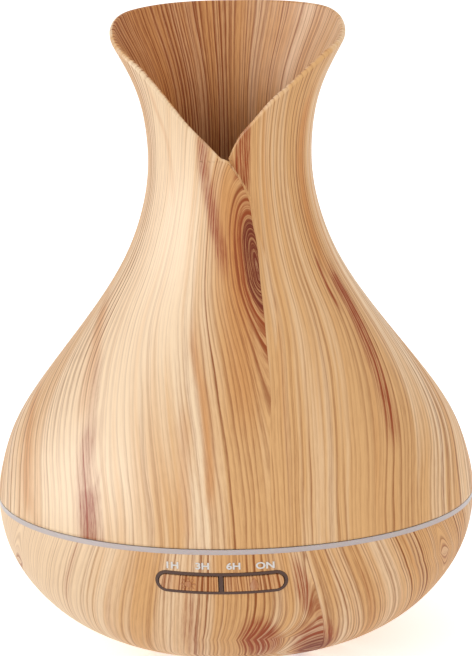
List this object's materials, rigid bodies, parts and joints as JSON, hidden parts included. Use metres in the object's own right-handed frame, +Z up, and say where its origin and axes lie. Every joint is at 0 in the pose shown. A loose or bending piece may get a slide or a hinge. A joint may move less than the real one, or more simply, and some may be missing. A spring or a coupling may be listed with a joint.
{
  "type": "essential oil diffuser",
  "caption": "Vase-shaped ultrasonic oil diffuser: wood-grain cover with a flared V mouth and lapped petal, light ring, bowl base, water tank and fan.",
  "frame": {"origin": "on the surface the diffuser stands on, on the body's axis", "axes": "+Z up along the body's axis, -Y the front with the two buttons, +X to the right seen from the front"},
  "size_m": [0.168, 0.168, 0.2202],
  "materials": {
    "wood_grain_cover": "moulded plastic with a printed light pine grain, satin",
    "wood_grain_base": "moulded plastic with a printed light pine grain, satin",
    "wood_grain_key": "moulded plastic with a printed light pine grain, satin",
    "translucent_ring": "frosted translucent plastic",
    "frosted_dome": "frosted translucent polypropylene",
    "white_tank": "white polypropylene, smooth inside",
    "dark_bezel": "dark brown plastic, satin",
    "black_plastic": "black moulded plastic",
    "clear_plastic": "clear acrylic",
    "rubber": "soft grey rubber",
    "white_rubber": "white silicone rubber",
    "foam": "black foam",
    "screw_steel": "zinc plated steel",
    "shaft_steel": "ground steel",
    "bronze": "sintered bronze",
    "copper": "enamelled copper winding",
    "magnet": "bonded ferrite",
    "ceramic": "silvered piezo ceramic",
    "board": "green solder mask on glass epoxy",
    "components": "black moulded electronic parts",
    "lamp": "white lamp bodies",
    "lead_sheath": "soft insulated wire"
  },
  "bodies": {
    "base": {"base_shell": "wood_grain_base", "base_floor": "black_plastic", "inlet_cup": "black_plastic", "light_ring": "translucent_ring", "water_tank": "white_tank", "air_tube": "white_tank", "tank_screws": "screw_steel", "bottom_cover": "black_plastic", "bottom_cover_screws": "screw_steel", "rubber_feet": "rubber", "button_bezel": "dark_bezel", "light_switch_body": "black_plastic", "mist_switch_body": "black_plastic", "button_board": "board", "button_board_screws": "screw_steel", "indicator_leds": "lamp", "indicator_light_guide": "clear_plastic", "ring_board": "board", "ring_leds": "lamp", "transducer_disc": "ceramic", "transducer_seal": "white_rubber", "transducer_clamp": "black_plastic", "transducer_screws": "screw_steel", "fan_frame": "black_plastic", "fan_bearing": "bronze", "fan_stator": "copper", "fan_duct": "white_tank", "duct_gasket": "foam", "fan_screws": "screw_steel", "main_board": "board", "main_board_screws": "screw_steel", "board_components": "components", "dc_jack": "black_plastic", "transducer_lead": "lead_sheath", "fan_lead": "lead_sheath", "ring_lead": "lead_sheath", "button_lead": "lead_sheath", "inlet_lead": "lead_sheath"},
    "cover": {"outer_cover": "wood_grain_cover"},
    "mist_dome": {"inner_cover": "frosted_dome"},
    "fan_rotor": {"fan_impeller": "black_plastic", "fan_shaft": "shaft_steel", "rotor_magnet": "magnet"},
    "light_key": {"light_button": "wood_grain_key", "light_switch_plunger": "black_plastic"},
    "mist_key": {"mist_button": "wood_grain_key", "mist_switch_plunger": "black_plastic"}
  },
  "joints": [
    {"name": "cover_lift", "type": "slide", "parent": "base", "child": "cover", "axis": [0, 0, 1], "range_m": [0, 0.2]},
    {"name": "dome_lift", "type": "slide", "parent": "base", "child": "mist_dome", "axis": [0, 0, 1], "range_m": [0, 0.1]},
    {"name": "fan_spin", "type": "hinge", "parent": "base", "child": "fan_rotor", "pos_m": [0.016, 0, 0.0122], "axis": [0, 0, 1], "continuous": true},
    {"name": "light_press", "type": "slide", "parent": "base", "child": "light_key", "axis": [0, 0.9681, 0.2504], "range_m": [0, 0.0004], "stiffness_N_per_m": 1500, "springref_m": -0.0004},
    {"name": "mist_press", "type": "slide", "parent": "base", "child": "mist_key", "axis": [0, 0.9681, 0.2504], "range_m": [0, 0.0004], "stiffness_N_per_m": 1500, "springref_m": -0.0004}
  ],
  "couplings": [
    {"joint": "dome_lift", "follows": "cover_lift", "ratio": 0.5}
  ]
}
